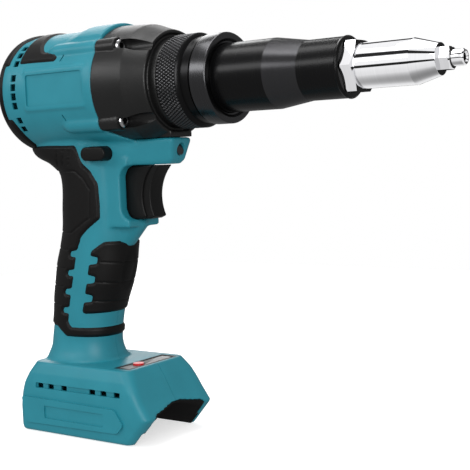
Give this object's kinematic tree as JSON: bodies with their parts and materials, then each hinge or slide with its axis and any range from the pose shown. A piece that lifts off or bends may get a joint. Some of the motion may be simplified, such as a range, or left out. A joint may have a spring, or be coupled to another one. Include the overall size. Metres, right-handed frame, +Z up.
{
  "type": "cordless rivet tool",
  "caption": "Cordless rivet tool: pistol-grip housing with sprung trigger and direction button, planetary ball-screw drive pulling wedge jaws behind a hex nosepiece, and an open battery dock.",
  "frame": {"origin": "under the middle of the overall length, on the middle plane, level with the underside of the base", "axes": "+X along the barrel towards the nose, +Y to the left of the tool, +Z up"},
  "size_m": [0.3084, 0.075, 0.2585],
  "materials": {
    "housing": "satin moulded plastic with a fine spark texture",
    "rubber": "soft matt overmoulded rubber",
    "gear_case": "dark coated casting, lightly grained",
    "black_steel": "blackened and polished turned steel",
    "chrome": "polished plating",
    "steel": "ground steel",
    "bronze": "turned bronze",
    "copper": "laminated core with copper windings",
    "black_plastic": "moulded black plastic",
    "panel": "gloss black panel",
    "red_button": "gloss red",
    "lens": "clear lens",
    "board": "circuit board",
    "contact": "plated contact"
  },
  "bodies": {
    "housing": {"left_housing": "housing", "right_housing": "housing", "left_rear_grip": "rubber", "right_rear_grip": "rubber", "left_front_grip": "rubber", "right_front_grip": "rubber", "rear_bumper": "rubber", "left_head_pad": "rubber", "right_head_pad": "rubber", "gear_case": "gear_case", "case_screws": "steel", "housing_screws": "steel", "lock_ring": "black_steel", "collar": "black_steel", "barrel": "black_steel", "jam_nut": "chrome", "nose_sleeve": "chrome", "nosepiece": "chrome", "guide_bush": "bronze", "nut_bearing": "steel", "ring_gear": "steel", "stator": "copper", "motor_plate": "gear_case", "front_bearing": "steel", "rear_bearing": "steel", "switch_body": "black_plastic", "led_lens": "lens", "display_panel": "panel", "control_board": "board", "terminal_block": "black_plastic", "terminal_blades": "contact"},
    "rotor": {"rotor": "steel", "rotor_shaft": "steel", "fan": "black_plastic", "sun_pinion": "steel"},
    "carrier": {"carrier": "steel", "ball_nut": "steel"},
    "planet_1": {"planet_1": "steel"},
    "planet_2": {"planet_2": "steel"},
    "planet_3": {"planet_3": "steel"},
    "pull": {"pull_rod": "steel", "jaw_case": "steel", "jaw_spring": "steel"},
    "jaw_1": {"jaw_1": "steel"},
    "jaw_2": {"jaw_2": "steel"},
    "jaw_3": {"jaw_3": "steel"},
    "pusher": {"jaw_pusher": "steel"},
    "trigger": {"trigger": "black_plastic"},
    "direction": {"direction_button": "black_plastic"},
    "mode": {"mode_button": "red_button"}
  },
  "joints": [
    {"name": "rotor_spin", "type": "hinge", "parent": "housing", "child": "rotor", "pos_m": [-0.1, 0, 0.219], "axis": [1, 0, 0], "range_deg": [0, 7920]},
    {"name": "carrier_spin", "type": "hinge", "parent": "housing", "child": "carrier", "pos_m": [-0.05, 0, 0.219], "axis": [1, 0, 0], "range_deg": [0, 1584]},
    {"name": "planet_1_spin", "type": "hinge", "parent": "carrier", "child": "planet_1", "pos_m": [-0.0606, 0, 0.20325], "axis": [1, 0, 0], "range_deg": [-4224, 0]},
    {"name": "planet_2_spin", "type": "hinge", "parent": "carrier", "child": "planet_2", "pos_m": [-0.0606, 0.01364, 0.22687], "axis": [1, 0, 0], "range_deg": [-4224, 0]},
    {"name": "planet_3_spin", "type": "hinge", "parent": "carrier", "child": "planet_3", "pos_m": [-0.0606, -0.01364, 0.22687], "axis": [1, 0, 0], "range_deg": [-4224, 0]},
    {"name": "pull_slide", "type": "slide", "parent": "housing", "child": "pull", "axis": [-1, 0, 0], "range_m": [0, 0.022]},
    {"name": "jaw_1_slide", "type": "slide", "parent": "pull", "child": "jaw_1", "axis": [-0.9863, 0, 0.165], "range_m": [0, 0.0018], "stiffness_N_per_m": 1500, "springref_m": -0.001},
    {"name": "jaw_2_slide", "type": "slide", "parent": "pull", "child": "jaw_2", "axis": [-0.9863, -0.1429, -0.0825], "range_m": [0, 0.0018]},
    {"name": "jaw_3_slide", "type": "slide", "parent": "pull", "child": "jaw_3", "axis": [-0.9863, 0.1429, -0.0825], "range_m": [0, 0.0018]},
    {"name": "pusher_slide", "type": "slide", "parent": "pull", "child": "pusher", "axis": [-1, 0, 0], "range_m": [0, 0.0018], "deforming": ["jaw_spring"]},
    {"name": "trigger_slide", "type": "slide", "parent": "housing", "child": "trigger", "axis": [-1, 0, 0], "range_m": [0, 0.006], "stiffness_N_per_m": 400, "springref_m": -0.003},
    {"name": "direction_slide", "type": "slide", "parent": "housing", "child": "direction", "axis": [0, 1, 0], "range_m": [-0.0025, 0.0025]},
    {"name": "mode_press", "type": "slide", "parent": "housing", "child": "mode", "axis": [0, 0, -1], "range_m": [0, 0.0006], "stiffness_N_per_m": 1500, "springref_m": -0.0004}
  ],
  "couplings": [
    {"joint": "carrier_spin", "follows": "rotor_spin", "ratio": 0.2},
    {"joint": "planet_1_spin", "follows": "rotor_spin", "ratio": -0.53333},
    {"joint": "planet_2_spin", "follows": "rotor_spin", "ratio": -0.53333},
    {"joint": "planet_3_spin", "follows": "rotor_spin", "ratio": -0.53333},
    {"joint": "pull_slide", "follows": "rotor_spin", "m_per_rad": 0.00015915},
    {"joint": "jaw_2_slide", "follows": "jaw_1_slide", "ratio": 1},
    {"joint": "jaw_3_slide", "follows": "jaw_1_slide", "ratio": 1},
    {"joint": "pusher_slide", "follows": "jaw_1_slide", "ratio": 0.98629}
  ]
}
